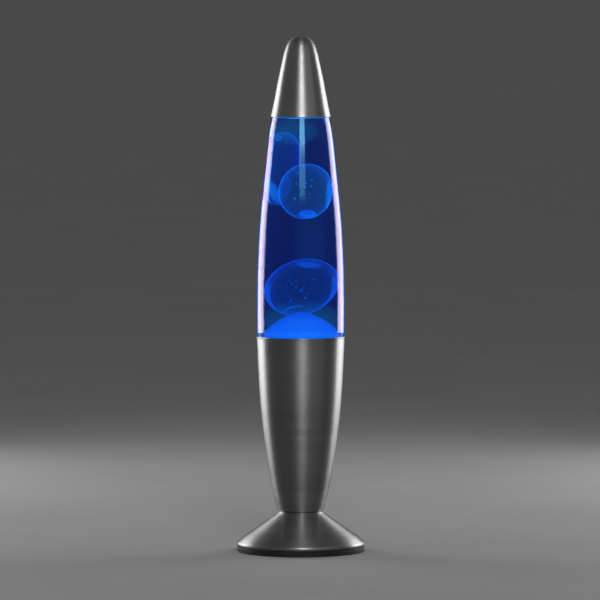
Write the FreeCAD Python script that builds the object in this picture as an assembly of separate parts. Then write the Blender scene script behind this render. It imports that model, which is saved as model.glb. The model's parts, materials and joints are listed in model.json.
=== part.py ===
import FreeCAD, Part
import math
import os

# Lava lamp: a spun aluminium foot and body, a sealed glass bottle of coloured
# liquid and wax standing in the body's rim, and a spun aluminium cap over its neck.
# Millimetres, +Z up, origin at the centre of the ring that the lamp stands on.
# The front faces -Y and the cord's bushing is at the back, on +Y.

os.makedirs("parts", exist_ok=True)

# ---------------------------------------------------------------- driving sizes
TOTAL_HEIGHT = 340.0
SEAM_HEIGHT = 26.6          # where the body stands on the foot
BODY_TOP = 142.2            # top of the body's rolled rim
CAP_BOTTOM = 286.8          # lower edge of the cap
CAP_RADIUS = 19.85          # at the lower edge
LIQUID_LEVEL = 285.6
SHEET = 0.9                 # spun aluminium of the foot and the body
CAP_SHEET = 0.6
GLASS_WALL = 1.8

# foot
FOOT_RADIUS = 42.2
PAD_OUTER_RADIUS = 42.0
PAD_INNER_RADIUS = 37.4
PAD_HEIGHT = 3.4
PAD_ROUNDING = 0.6
PLATE_RADIUS = 37.0
PLATE_BOTTOM = 2.2
PLATE_TOP = 4.2
PLATE_SCREW_CIRCLE = 24.0
PLATE_SCREW_COUNT = 3
PLATE_SCREW_RADIUS = 1.5
PLATE_SCREW_END = 10.0
PLATE_SCREW_HEAD_RADIUS = 2.8
PLATE_SCREW_HEAD = 1.3
PLATE_SCREW_SLOT_HALF_WIDTH = 0.4
PLATE_SCREW_SLOT_DEPTH = 0.5
PLATE_HOLE_RADIUS = 1.6
WEIGHT_HOLE_RADIUS = 1.55
WEIGHT_HOLE_TOP = 10.5
WEIGHT_RADIUS = 34.0
WEIGHT_SHOULDER = 9.0       # the weight's full radius ends here
WEIGHT_TOP_RADIUS = 30.5
WEIGHT_DISC_TOP = 12.0
HUB_RADIUS = 12.0
NUT_POCKET_RADIUS = 9.5
NUT_POCKET_TOP = 14.0
CORD_CHANNEL_CLEARANCE = 0.6

# cord bushing
BUSHING_HEIGHT = 10.6
BUSHING_RADIUS = 3.9
BUSHING_BORE = 2.6
BUSHING_END = 41.2
BUSHING_START = 25.5
BUSHING_COLLAR_RADIUS = 5.0
BUSHING_COLLAR = 2.0
BUSHING_CLEARANCE = 0.05
BUSHING_ROUNDING = 0.6

# the hollow threaded rod that clamps foot, body and lamp holder (M10 x 1)
ROD_RADIUS = 5.0
ROD_BORE = 3.6
ROD_BOTTOM = 9.0
ROD_TOP = 39.0
ROD_CLEARANCE = 0.05
NUT_ACROSS_FLATS = 14.0
NUT_HEIGHT = 3.0
WASHER_RADIUS = 8.0
WASHER_TOOTH_DEPTH = 0.9
WASHER_TEETH = 12
WASHER_THICKNESS = 0.8
TAG_THICKNESS = 0.6
TAG_HALF_WIDTH = 2.2
TAG_LENGTH = 12.6
TAG_HOLE_RADIUS = 1.0
TAG_HOLE_DISTANCE = 10.6

# small Edison screw (E14) lamp holder
HOLDER_BOTTOM = 32.0
HOLDER_TOP = 65.5
HOLDER_RADIUS = 13.0
HOLDER_WEB_BOTTOM = 39.5
HOLDER_WEB_TOP = 42.2
HOLDER_CHAMBER_RADIUS = 6.6
HOLDER_COLLAR = 44.0        # the holder narrows above its collar
SLEEVE_BOTTOM = 49.0
SLEEVE_TOP = 65.2
SLEEVE_INNER_RADIUS = 7.2
SLEEVE_OUTER_RADIUS = 7.5
TERMINAL_INNER = 8.4
TERMINAL_OUTER = 11.6
TERMINAL_HALF_WIDTH = 3.0
TERMINAL_BOTTOM = 34.6
TERMINAL_TOP = 41.8
TERMINAL_CLEARANCE = 0.1
TERMINAL_SCREW_HEIGHT = 38.4
TERMINAL_THREAD_RADIUS = 1.5
TERMINAL_SCREW_RADIUS = 1.45
TERMINAL_SCREW_HEAD_RADIUS = 2.2
TERMINAL_SCREW_HEAD = 1.1
TERMINAL_SHAFT_RADIUS = 2.3
PLUNGER_STEM_RADIUS = 1.2
PLUNGER_HEAD_RADIUS = 2.4
PLUNGER_HEAD = 1.2
PLUNGER_FLANGE_RADIUS = 2.0
PLUNGER_BOTTOM = 35.6
PLUNGER_FLANGE = 0.8
PLUNGER_CLEARANCE = 0.1

# reflector bulb, 39 mm across, with an E14 screw cap
BULB_TIP = 46.4             # the centre contact
BULB_LENGTH = 66.0
BULB_RADIUS = 19.5
BULB_GLASS_WALL = 0.6
SCREW_PITCH = 2.822
SCREW_MAJOR_RADIUS = 6.945
SCREW_MINOR_RADIUS = 6.145
SCREW_INNER_RADIUS = 5.3
SCREW_BOTTOM = 51.0
SCREW_TURNS = 4
SKIRT_BOTTOM = 66.4
SKIRT_TOP = 71.4
SKIRT_RADIUS = 8.5
SKIRT_SEAT = 67.5           # the glass's neck stands on this step inside the skirt
SKIRT_SEAT_RADIUS = 7.75
CONTACT_RADIUS = 2.4
CONTACT_THICKNESS = 1.2
CONTACT_WIRE_RADIUS = 0.8
INSULATOR_BORE = 1.2
LEAD_RADIUS = 0.28
LEAD_DISTANCE = 1.3
LEAD_HOLE_RADIUS = 0.35
FILAMENT_HEIGHT = 93.4

# bottle
BOTTLE_BOTTOM = 121.5
NECK_RADIUS = 12.8
NECK_TOP = 302.8
FINISH_RADIUS = 13.3        # the bead that the crown cap grips
LINER_THICKNESS = 0.6
CROWN_SHEET = 0.35
CROWN_SKIRT_BOTTOM = 298.0
CROWN_FLUTES = 21
CROWN_TOP_RADIUS = 13.5
CROWN_SKIRT_RADIUS = 14.2
CROWN_FLUTE_DEPTH = 0.3
COIL_RADIUS = 19.0
COIL_WIRE_RADIUS = 0.6
COIL_PITCH = 1.5
COIL_TURNS = 2.5

Z_AXIS = FreeCAD.Vector(0, 0, 1)
Y_AXIS = FreeCAD.Vector(0, 1, 0)
X_AXIS = FreeCAD.Vector(1, 0, 0)
ORIGIN = FreeCAD.Vector(0, 0, 0)


# ---------------------------------------------------------------- geometry tools
def save(node, *solids):
    """Write one node: a single solid, or a group of separate identical ones."""
    shape = solids[0] if len(solids) == 1 else Part.makeCompound(list(solids))
    shape.exportStep("parts/" + node + ".step")
    print(f"{node:20s} {shape.Volume / 1000:9.3f} cm3  solids {len(shape.Solids)}  valid {shape.isValid()}")


def half_plane(radius, height):
    """A point of an outline that is turned about the Z axis."""
    return FreeCAD.Vector(radius, 0, height)


def outline_edge(kind, points):
    """One edge of an outline: a line, an arc through three points, or a smooth curve.

    A smooth curve that starts or ends on the Z axis is level there, so it makes a round pole.
    """
    if kind == "line":
        return Part.LineSegment(points[0], points[1]).toShape()
    if kind == "arc":
        return Part.Arc(points[0], points[1], points[2]).toShape()
    at_pole = [abs(point.x) < 1e-6 for point in points]
    level = [FreeCAD.Vector(1 if index == 0 else -1, 0, 0) for index in range(len(points))]
    spline = Part.BSplineCurve()
    spline.interpolate(Points=points, Tangents=level, TangentFlags=at_pole)
    return spline.toShape()


def outline(*pieces):
    """Turn (kind, (radius, height), ...) pieces into (kind, points) pieces."""
    return [(piece[0], [half_plane(*point) for point in piece[1:]]) for piece in pieces]


def inset(pieces, depth):
    """Move an outline sideways by depth, to the left of its direction of travel."""
    tangents = []
    for kind, points in pieces:
        curve = outline_edge(kind, points).Curve
        tangents.append([curve.tangent(curve.parameter(point))[0] for point in points])
    for before, after in zip(tangents, tangents[1:]):
        shared = before[-1] + after[0]
        before[-1] = shared
        after[0] = shared
    moved = []
    for (kind, points), directions in zip(pieces, tangents):
        shifted = []
        for point, direction in zip(points, directions):
            side = FreeCAD.Vector(-direction.z, 0, direction.x).normalize()
            shifted.append(point + side * depth)
        moved.append((kind, shifted))
    return moved


def turned(pieces):
    """Revolve a closed outline about the Z axis; gaps between its pieces become lines."""
    edges = []
    for index, (kind, points) in enumerate(pieces):
        edges.append(outline_edge(kind, points))
        following = pieces[(index + 1) % len(pieces)][1][0]
        if points[-1].distanceToPoint(following) > 1e-6:
            edges.append(Part.LineSegment(points[-1], following).toShape())
    face = Part.Face(Part.Wire(Part.__sortEdges__(edges)))
    solid = face.revolve(ORIGIN, Z_AXIS, 360)
    return Part.Solid(solid) if solid.ShapeType == "Shell" else solid


def sheet(pieces, wall):
    """A wall of revolution that lies to the left of an outline's direction of travel."""
    inner = inset(pieces, wall)
    back = [(kind, list(reversed(points))) for kind, points in reversed(inner)]
    return turned(pieces + back)


def filled(pieces):
    """A solid of revolution between an outline and the axis, flat at both ends of the outline."""
    start = pieces[0][1][0]
    end = pieces[-1][1][-1]
    corners = [end, half_plane(0, end.z), half_plane(0, start.z), start]
    closing = []
    for first, second in zip(corners, corners[1:]):
        if first.distanceToPoint(second) > 1e-6:
            closing.append(("line", [first, second]))
    return turned(pieces + closing)


def disc(radius, bottom, top):
    return Part.makeCylinder(radius, top - bottom, FreeCAD.Vector(0, 0, bottom))


def disc_at(radius, bottom, top, distance):
    """A short upright cylinder standing away from the axis, towards the front."""
    return Part.makeCylinder(radius, top - bottom, FreeCAD.Vector(0, -distance, bottom))


def ring(inner, outer, bottom, top):
    return disc(outer, bottom, top).cut(disc(inner, bottom, top))


def rod_along(axis, radius, start, end):
    """A round bar from start, as long as the distance from start to end, along axis."""
    return Part.makeCylinder(radius, start.distanceToPoint(end), start, axis)


def block(low, high):
    size = FreeCAD.Vector(*high) - FreeCAD.Vector(*low)
    return Part.makeBox(size.x, size.y, size.z, FreeCAD.Vector(*low))


def hexagon(across_flats, bottom, top):
    corner = across_flats / math.sqrt(3)
    points = []
    for side in range(6):
        angle = math.radians(60 * side)
        points.append(FreeCAD.Vector(corner * math.cos(angle), corner * math.sin(angle), bottom))
    return Part.Face(Part.makePolygon(points + points[:1])).extrude(FreeCAD.Vector(0, 0, top - bottom))


def wire_helix(radius, pitch, turns, wire_radius, bottom):
    """A round wire wound about the Z axis, its centre line starting at bottom."""
    path = Part.makeHelix(pitch, pitch * turns, radius)
    section = Part.Wire(Part.makeCircle(wire_radius, FreeCAD.Vector(radius, 0, 0), Y_AXIS))
    coil = Part.Wire(path).makePipeShell([section], True, True)
    coil.translate(FreeCAD.Vector(0, 0, bottom))
    return coil


def around(shape, count):
    """Copies of a shape, evenly spaced about the Z axis."""
    copies = []
    for index in range(count):
        copy = shape.copy()
        copy.rotate(ORIGIN, Z_AXIS, 360 * index / count)
        copies.append(copy)
    return copies


def ellipsoid(half_length, half_width, tilt, centre):
    """An egg-round solid whose long axis leans from +Z towards +X by tilt degrees."""
    curve = Part.Ellipse(half_plane(0, half_length), half_plane(half_width, 0), ORIGIN)
    pole = half_plane(0, half_length)
    rim = half_plane(half_width, 0)
    upper = Part.Edge(curve, curve.parameter(rim), curve.parameter(pole))
    if upper.BoundBox.ZMin < -1e-3:
        upper = Part.Edge(curve, curve.parameter(pole), curve.parameter(rim))
    quarter = Part.Face(Part.Wire(Part.__sortEdges__([
        upper,
        Part.LineSegment(pole, ORIGIN).toShape(),
        Part.LineSegment(ORIGIN, rim).toShape(),
    ])))
    top = quarter.revolve(ORIGIN, Z_AXIS, 360)
    bottom = top.mirror(ORIGIN, Z_AXIS)
    whole = top.fuse(bottom).removeSplitter()
    whole.rotate(ORIGIN, Y_AXIS, tilt)
    whole.translate(centre)
    return whole.Solids[0]


# ---------------------------------------------------------------- foot
def foot_outline():
    """Outside of the foot, from its middle hole over the slope to the turned-in edge."""
    return outline(
        ("line", (ROD_RADIUS + ROD_CLEARANCE, SEAM_HEIGHT), (13.7, SEAM_HEIGHT)),
        ("arc", (13.7, SEAM_HEIGHT), (14.5, 26.3), (14.9, 25.8)),
        ("curve", (14.9, 25.8), (18.4, 23.2), (24.1, 19.25), (31.7, 14.0), (38.0, 9.7), (41.3, 6.8)),
        ("arc", (41.3, 6.8), (FOOT_RADIUS, 5.2), (40.8, PAD_HEIGHT)),
        ("line", (40.8, PAD_HEIGHT), (38.7, PAD_HEIGHT)),
    )


def foot_shell():
    shell = sheet(foot_outline(), -SHEET)
    hole = rod_along(
        Y_AXIS,
        BUSHING_RADIUS + BUSHING_CLEARANCE,
        FreeCAD.Vector(0, BUSHING_START, BUSHING_HEIGHT),
        FreeCAD.Vector(0, FOOT_RADIUS + 5, BUSHING_HEIGHT),
    )
    return shell.cut(hole)


def foot_pad():
    pad = ring(PAD_INNER_RADIUS, PAD_OUTER_RADIUS, 0, PAD_HEIGHT)
    level = [edge for edge in pad.Edges if edge.BoundBox.ZLength < 0.1]
    rims = [edge for edge in level if edge.BoundBox.XMax > PAD_OUTER_RADIUS - 0.5]
    return pad.makeFillet(PAD_ROUNDING, rims)


def foot_weight():
    body = filled(outline(
        ("line", (0, PLATE_TOP), (WEIGHT_RADIUS, PLATE_TOP)),
        ("line", (WEIGHT_RADIUS, PLATE_TOP), (WEIGHT_RADIUS, WEIGHT_SHOULDER)),
        ("line", (WEIGHT_RADIUS, WEIGHT_SHOULDER), (WEIGHT_TOP_RADIUS, WEIGHT_DISC_TOP)),
        ("line", (WEIGHT_TOP_RADIUS, WEIGHT_DISC_TOP), (HUB_RADIUS, WEIGHT_DISC_TOP)),
        ("line", (HUB_RADIUS, WEIGHT_DISC_TOP), (HUB_RADIUS, SEAM_HEIGHT - SHEET)),
    ))
    body = body.cut(disc(ROD_RADIUS + ROD_CLEARANCE, 0, SEAM_HEIGHT))
    body = body.cut(disc(NUT_POCKET_RADIUS, 0, NUT_POCKET_TOP))
    half_channel = BUSHING_COLLAR_RADIUS + CORD_CHANNEL_CLEARANCE
    channel = block((-half_channel, 0, 0), (half_channel, WEIGHT_RADIUS + 1, BUSHING_HEIGHT + half_channel))
    body = body.cut(channel)
    hole = disc_at(WEIGHT_HOLE_RADIUS, PLATE_TOP - 1, WEIGHT_HOLE_TOP, PLATE_SCREW_CIRCLE)
    for cutter in around(hole, PLATE_SCREW_COUNT):
        body = body.cut(cutter)
    return body


def base_plate():
    plate = disc(PLATE_RADIUS, PLATE_BOTTOM, PLATE_TOP)
    hole = disc_at(PLATE_HOLE_RADIUS, PLATE_BOTTOM, PLATE_TOP, PLATE_SCREW_CIRCLE)
    for cutter in around(hole, PLATE_SCREW_COUNT):
        plate = plate.cut(cutter)
    return plate


def base_plate_screws():
    head_bottom = PLATE_BOTTOM - PLATE_SCREW_HEAD
    head = disc_at(PLATE_SCREW_HEAD_RADIUS, head_bottom, PLATE_BOTTOM, PLATE_SCREW_CIRCLE)
    reach = PLATE_SCREW_HEAD_RADIUS + 0.2
    slot_top = head_bottom + PLATE_SCREW_SLOT_DEPTH
    slot = block(
        (-PLATE_SCREW_SLOT_HALF_WIDTH, -PLATE_SCREW_CIRCLE - reach, head_bottom - 0.1),
        (PLATE_SCREW_SLOT_HALF_WIDTH, -PLATE_SCREW_CIRCLE + reach, slot_top),
    )
    shank = disc_at(PLATE_SCREW_RADIUS, PLATE_BOTTOM, PLATE_SCREW_END, PLATE_SCREW_CIRCLE)
    return around(head.cut(slot).fuse(shank), PLATE_SCREW_COUNT)


def cord_bushing():
    start = FreeCAD.Vector(0, BUSHING_START, BUSHING_HEIGHT)
    end = FreeCAD.Vector(0, BUSHING_END, BUSHING_HEIGHT)
    collar_end = FreeCAD.Vector(0, BUSHING_START + BUSHING_COLLAR, BUSHING_HEIGHT)
    body = rod_along(Y_AXIS, BUSHING_RADIUS, start, end)
    mouth = [edge for edge in body.Edges if edge.BoundBox.YMin > BUSHING_END - 0.01]
    body = body.makeFillet(BUSHING_ROUNDING, mouth)
    body = body.fuse(rod_along(Y_AXIS, BUSHING_COLLAR_RADIUS, start, collar_end))
    return body.cut(rod_along(Y_AXIS, BUSHING_BORE, start, end))


# ---------------------------------------------------------------- clamping rod
def threaded_rod():
    return ring(ROD_BORE, ROD_RADIUS, ROD_BOTTOM, ROD_TOP)


def rod_nut(bottom):
    nut = hexagon(NUT_ACROSS_FLATS, bottom, bottom + NUT_HEIGHT)
    return nut.cut(disc(ROD_RADIUS + ROD_CLEARANCE, bottom, bottom + NUT_HEIGHT))


def lock_washer(bottom):
    top = bottom + WASHER_THICKNESS
    washer = ring(ROD_RADIUS + ROD_CLEARANCE, WASHER_RADIUS, bottom, top)
    gap = disc_at(0.7, bottom, top, WASHER_RADIUS + 0.7 - WASHER_TOOTH_DEPTH)
    for notch in around(gap, WASHER_TEETH):
        washer = washer.cut(notch)
    return washer


def earth_tag(bottom):
    top = bottom + TAG_THICKNESS
    tongue = block((0, -TAG_HALF_WIDTH, bottom), (TAG_LENGTH, TAG_HALF_WIDTH, top))
    tag = disc(WASHER_RADIUS, bottom, top).fuse(tongue)
    tag = tag.cut(disc(ROD_RADIUS + ROD_CLEARANCE, bottom, top))
    hole_start = FreeCAD.Vector(TAG_HOLE_DISTANCE, 0, bottom)
    return tag.cut(Part.makeCylinder(TAG_HOLE_RADIUS, TAG_THICKNESS, hole_start))


# ---------------------------------------------------------------- body
def body_outline():
    """Outside of the body, from its floor's hole round the lower corner up to the rim."""
    return outline(
        ("line", (ROD_RADIUS + ROD_CLEARANCE, SEAM_HEIGHT), (13.6, SEAM_HEIGHT)),
        ("arc", (13.6, SEAM_HEIGHT), (14.95, 27.15), (15.7, 28.5)),
        ("curve", (15.7, 28.5), (19.7, 46.4), (23.95, 72.8), (26.8, 99.2), (28.35, 125.6), (29.05, 141.5)),
    )


def body_shell():
    bead_radius = 0.6
    bead_centre = half_plane(28.72, BODY_TOP - bead_radius)
    circle = Part.Wire(Part.makeCircle(bead_radius, bead_centre, Y_AXIS))
    bead = Part.Face(circle).revolve(ORIGIN, Z_AXIS, 360)
    return sheet(body_outline(), SHEET).fuse(bead).removeSplitter()


# ---------------------------------------------------------------- lamp holder
def holder_body():
    body = filled(outline(
        ("line", (0, HOLDER_BOTTOM), (12.3, HOLDER_BOTTOM)),
        ("line", (12.3, HOLDER_BOTTOM), (HOLDER_RADIUS, HOLDER_BOTTOM + 0.7)),
        ("line", (HOLDER_RADIUS, HOLDER_BOTTOM + 0.7), (HOLDER_RADIUS, HOLDER_COLLAR)),
        ("line", (HOLDER_RADIUS, HOLDER_COLLAR), (11.6, HOLDER_COLLAR + 1.4)),
        ("line", (11.6, HOLDER_COLLAR + 1.4), (11.0, HOLDER_TOP)),
    ))
    body = body.cut(disc(ROD_RADIUS + ROD_CLEARANCE, HOLDER_BOTTOM, HOLDER_WEB_BOTTOM))
    body = body.cut(disc(PLUNGER_STEM_RADIUS + PLUNGER_CLEARANCE, HOLDER_WEB_BOTTOM, HOLDER_WEB_TOP))
    body = body.cut(disc(HOLDER_CHAMBER_RADIUS, HOLDER_WEB_TOP, HOLDER_TOP))
    body = body.cut(disc(SLEEVE_OUTER_RADIUS + 0.05, SLEEVE_BOTTOM, HOLDER_TOP))
    half_width = TERMINAL_HALF_WIDTH + TERMINAL_CLEARANCE
    pocket = block(
        (TERMINAL_INNER - TERMINAL_CLEARANCE, -half_width, HOLDER_BOTTOM),
        (TERMINAL_OUTER + TERMINAL_CLEARANCE, half_width, TERMINAL_TOP + 0.2),
    )
    shaft = rod_along(
        X_AXIS,
        TERMINAL_SHAFT_RADIUS,
        FreeCAD.Vector(TERMINAL_OUTER, 0, TERMINAL_SCREW_HEIGHT),
        FreeCAD.Vector(HOLDER_RADIUS + 1, 0, TERMINAL_SCREW_HEIGHT),
    )
    for cutter in around(pocket.fuse(shaft), 2):
        body = body.cut(cutter)
    return body


def holder_terminals():
    terminal = block(
        (TERMINAL_INNER, -TERMINAL_HALF_WIDTH, TERMINAL_BOTTOM),
        (TERMINAL_OUTER, TERMINAL_HALF_WIDTH, TERMINAL_TOP),
    )
    thread = rod_along(
        X_AXIS,
        TERMINAL_THREAD_RADIUS,
        FreeCAD.Vector(TERMINAL_INNER + 0.8, 0, TERMINAL_SCREW_HEIGHT),
        FreeCAD.Vector(TERMINAL_OUTER, 0, TERMINAL_SCREW_HEIGHT),
    )
    return around(terminal.cut(thread), 2)


def terminal_screws():
    start = FreeCAD.Vector(TERMINAL_INNER + 0.8, 0, TERMINAL_SCREW_HEIGHT)
    under_head = FreeCAD.Vector(TERMINAL_OUTER, 0, TERMINAL_SCREW_HEIGHT)
    end = FreeCAD.Vector(TERMINAL_OUTER + TERMINAL_SCREW_HEAD, 0, TERMINAL_SCREW_HEIGHT)
    shank = rod_along(X_AXIS, TERMINAL_SCREW_RADIUS, start, under_head)
    head = rod_along(X_AXIS, TERMINAL_SCREW_HEAD_RADIUS, under_head, end)
    slot = block((end.x - 0.5, -0.3, end.z - 2.5), (end.x + 0.1, 0.3, end.z + 2.5))
    return around(shank.fuse(head).cut(slot), 2)


def holder_sleeve():
    return ring(SLEEVE_INNER_RADIUS, SLEEVE_OUTER_RADIUS, SLEEVE_BOTTOM, SLEEVE_TOP)


def contact_plunger():
    head = disc(PLUNGER_HEAD_RADIUS, BULB_TIP - PLUNGER_HEAD, BULB_TIP)
    stem = disc(PLUNGER_STEM_RADIUS, PLUNGER_BOTTOM, BULB_TIP - PLUNGER_HEAD)
    flange = disc(PLUNGER_FLANGE_RADIUS, PLUNGER_BOTTOM, PLUNGER_BOTTOM + PLUNGER_FLANGE)
    return head.fuse(stem).fuse(flange).removeSplitter()


def contact_spring():
    wire = 0.22
    turns = 3
    bottom = HOLDER_WEB_TOP + wire + 0.03
    height = BULB_TIP - PLUNGER_HEAD - wire - 0.03 - bottom
    return wire_helix(1.75, height / turns, turns, wire, bottom)


# ---------------------------------------------------------------- bulb
def bulb_outline():
    """Outside of the bulb's glass, from inside the screw cap up to the crown."""
    top = BULB_TIP + BULB_LENGTH
    return outline(
        ("line", (7.7, 67.6), (7.7, 71.0)),
        ("curve", (7.7, 71.0), (8.7, 75.5), (12.6, 83.5), (17.4, 92.5), (BULB_RADIUS, 101.0)),
        ("curve", (BULB_RADIUS, 101.0), (17.6, 107.0), (11.0, 110.9), (5.0, top - 0.3), (0, top)),
    )


def screw_cap():
    barrel = disc(SCREW_MINOR_RADIUS, SCREW_BOTTOM, SKIRT_BOTTOM)
    round_radius = SCREW_MAJOR_RADIUS - SCREW_MINOR_RADIUS
    ridge = wire_helix(SCREW_MINOR_RADIUS, SCREW_PITCH, SCREW_TURNS, round_radius, SCREW_BOTTOM + 1.4)
    barrel = barrel.fuse(ridge)
    skirt = filled(outline(
        ("line", (SCREW_MINOR_RADIUS, SKIRT_BOTTOM), (7.9, 67.2)),
        ("line", (7.9, 67.2), (SKIRT_RADIUS, SKIRT_TOP)),
    ))
    barrel = barrel.fuse(skirt)
    barrel = barrel.cut(disc(SCREW_INNER_RADIUS, SCREW_BOTTOM - 1, SKIRT_TOP))
    return barrel.cut(disc(SKIRT_SEAT_RADIUS, SKIRT_SEAT, SKIRT_TOP + 1))


def bulb_insulator():
    cone = filled(outline(
        ("line", (2.6, BULB_TIP + CONTACT_THICKNESS), (3.6, BULB_TIP + CONTACT_THICKNESS)),
        ("line", (3.6, BULB_TIP + CONTACT_THICKNESS), (5.7, SCREW_BOTTOM)),
        ("line", (5.7, SCREW_BOTTOM), (5.2, SCREW_BOTTOM)),
        ("line", (5.2, SCREW_BOTTOM), (5.2, SCREW_BOTTOM + 1.5)),
    ))
    return cone.cut(disc(INSULATOR_BORE, BULB_TIP, SCREW_BOTTOM + 2))


def bulb_contact():
    button = disc(CONTACT_RADIUS, BULB_TIP, BULB_TIP + CONTACT_THICKNESS)
    wire = disc(CONTACT_WIRE_RADIUS, BULB_TIP + CONTACT_THICKNESS, SCREW_BOTTOM)
    return button.fuse(wire)


def bulb_stem():
    stem = filled(outline(
        ("line", (5.0, 68.0), (3.2, 72.5)),
        ("line", (3.2, 72.5), (2.4, 82.0)),
        ("curve", (2.4, 82.0), (1.9, 84.0), (0, 85.2)),
    ))
    bore = Part.makeCylinder(LEAD_HOLE_RADIUS, 30, FreeCAD.Vector(LEAD_DISTANCE, 0, 60))
    for hole in around(bore, 2):
        stem = stem.cut(hole)
    return stem


def bulb_lead_wires():
    """Two wires that rise through the stem and lean out to the filament's ends."""
    corners = [
        half_plane(LEAD_DISTANCE, 62.0),
        half_plane(LEAD_DISTANCE, 86.0),
        half_plane(5.0, 92.0),
        half_plane(5.0, 94.0),
    ]
    wire = None
    for start, end in zip(corners, corners[1:]):
        piece = rod_along(end - start, LEAD_RADIUS, start, end)
        joint = Part.makeSphere(LEAD_RADIUS, end)
        piece = piece.fuse(joint)
        wire = piece if wire is None else wire.fuse(piece)
    return around(wire.removeSplitter(), 2)


def bulb_filament():
    half_length = 4.6
    turns = 10
    coil = wire_helix(0.6, 2 * half_length / turns, turns, 0.14, -half_length)
    coil.rotate(ORIGIN, Y_AXIS, 90)
    coil.translate(half_plane(0, FILAMENT_HEIGHT))
    return coil


# ---------------------------------------------------------------- bottle
def bottle_outline():
    """Outside of the bottle, from the middle of its floor to the top of its neck."""
    return outline(
        ("line", (0, BOTTLE_BOTTOM), (19.8, BOTTLE_BOTTOM)),
        ("arc", (19.8, BOTTLE_BOTTOM), (22.9, 122.8), (24.3, 125.9)),
        (
            "curve", (24.3, 125.9), (26.4, 134.0), (27.65, 141.3), (28.75, 144.9), (29.05, 150.5),
            (29.08, 163.0), (28.5, 192.4), (26.6, 224.1), (23.3, 255.8), (20.0, 281.5), (18.85, 286.9),
        ),
        ("curve", (18.85, 286.9), (17.9, 289.8), (14.7, 293.8), (NECK_RADIUS, 297.4)),
        ("line", (NECK_RADIUS, 297.4), (NECK_RADIUS, NECK_TOP)),
    )


def glass_bottle():
    glass = sheet(bottle_outline(), GLASS_WALL)
    bead = turned(outline(
        ("line", (NECK_RADIUS - 0.5, 299.2), (NECK_RADIUS, 299.2)),
        ("arc", (NECK_RADIUS, 299.2), (FINISH_RADIUS, 300.6), (NECK_RADIUS, 302.0)),
        ("line", (NECK_RADIUS, 302.0), (NECK_RADIUS - 0.5, 302.0)),
    ))
    return glass.fuse(bead).removeSplitter()


def bottle_cavity():
    return filled(inset(bottle_outline(), GLASS_WALL))


def wax_mound(cavity):
    """The wax still lying on the bottle's floor, risen into a dome in the middle."""
    dome = filled(outline(
        ("line", (0, BOTTLE_BOTTOM), (33.0, BOTTLE_BOTTOM)),
        ("line", (33.0, BOTTLE_BOTTOM), (33.0, 135.7)),
        (
            "curve", (33.0, 135.7), (24.0, 138.6), (20.0, 142.4), (15.6, 148.0),
            (9.9, 153.8), (5.6, 157.0), (2.6, 158.2), (0, 158.5),
        ),
    ))
    dome.translate(FreeCAD.Vector(0.5, -3.0, 0))
    coil_room = ring(
        COIL_RADIUS - COIL_WIRE_RADIUS - 0.2,
        COIL_RADIUS + COIL_WIRE_RADIUS + 0.2,
        BOTTLE_BOTTOM,
        BOTTLE_BOTTOM + GLASS_WALL + COIL_PITCH * COIL_TURNS + 2 * COIL_WIRE_RADIUS + 0.3,
    )
    return cavity.common(dome).cut(coil_room)


def wax_blob_lower(mound):
    """A fat round blob that leans to one side and is still joined to the mound's tip."""
    return ellipsoid(19.5, 16.0, 35, FreeCAD.Vector(0.4, 4.0, 174.6)).cut(mound)


def wax_blob_front():
    return ellipsoid(17.95, 14.9, 8, FreeCAD.Vector(2.9, -7.4, 237.6))


def wax_blob_rear():
    """A long column of wax with a slight waist, leaning outwards as it goes down."""
    lower_end = FreeCAD.Vector(-9.8, 12.6, 227.6)
    upper_end = FreeCAD.Vector(-7.0, 8.4, 276.4)
    length = lower_end.distanceToPoint(upper_end)
    column = filled(outline(
        (
            "curve", (0, 0), (2.6, 0.6), (5.0, 2.5), (6.9, 7.5), (7.1, 13.5), (6.8, 22.0),
            (7.5, 32.0), (7.0, 41.0), (5.0, 46.2), (2.6, 48.3), (0, length),
        ),
    ))
    lean = FreeCAD.Rotation(Z_AXIS, upper_end - lower_end)
    column.Placement = FreeCAD.Placement(lower_end, lean)
    return column


def wax_droplets():
    return [
        Part.makeSphere(1.5, FreeCAD.Vector(-12.8, -8.0, 272.3)),
        Part.makeSphere(0.9, FreeCAD.Vector(-1.6, -19.9, 250.2)),
    ]


def wire_coil():
    bottom = BOTTLE_BOTTOM + GLASS_WALL + COIL_WIRE_RADIUS + 0.1
    return wire_helix(COIL_RADIUS, COIL_PITCH, COIL_TURNS, COIL_WIRE_RADIUS, bottom)


def liquid(cavity, wax):
    """What fills the bottle around the wax, with a surface that curls up at the glass."""
    above = filled(outline(
        (
            "curve", (0, LIQUID_LEVEL), (14.0, LIQUID_LEVEL + 0.05),
            (16.2, LIQUID_LEVEL + 0.4), (18.0, LIQUID_LEVEL + 1.6),
        ),
        ("line", (18.0, LIQUID_LEVEL + 1.6), (18.0, NECK_TOP + 5)),
    ))
    shape = cavity.cut(above)
    for piece in wax:
        shape = shape.cut(piece)
    return max(shape.Solids, key=lambda solid: solid.Volume)


def crown_ring(radius, flute_depth, height):
    """A closed wavy line, one wave for each flute of the crown cap."""
    points = []
    for index in range(2 * CROWN_FLUTES):
        angle = math.pi * index / CROWN_FLUTES
        reach = radius + flute_depth * (-1) ** index
        points.append(FreeCAD.Vector(reach * math.cos(angle), reach * math.sin(angle), height))
    spline = Part.BSplineCurve()
    spline.interpolate(points, PeriodicFlag=True)
    return Part.Wire(spline.toShape())


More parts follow.
